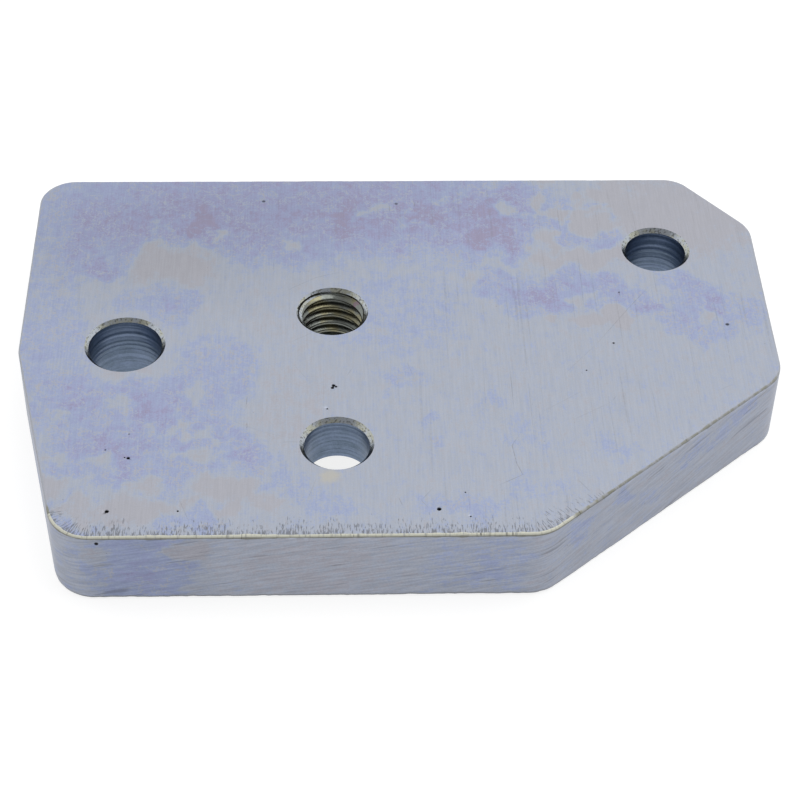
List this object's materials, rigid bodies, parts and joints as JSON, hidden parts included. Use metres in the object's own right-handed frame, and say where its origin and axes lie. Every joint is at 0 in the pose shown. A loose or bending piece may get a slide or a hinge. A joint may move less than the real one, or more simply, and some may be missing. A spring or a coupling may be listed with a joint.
{
  "type": "machined mounting block",
  "caption": "Flat steel mounting block with a seven-sided outline, plain bolt holes, one of them countersunk from the underside, and a central tapped hole.",
  "frame": {"origin": "under the middle of the bounding box, on the underside (Z = 0)", "axes": "+X along the long back edge, from the left end to the right edge; +Y from the front edge to the back edge; +Z out of the top face"},
  "size_m": [0.108, 0.075, 0.012],
  "materials": {
    "zinc_plated_steel": "zinc plated and clear passivated, satin, with a faint blue bloom"
  },
  "bodies": {
    "root": {"mounting_block": "zinc_plated_steel"}
  },
  "joints": []
}
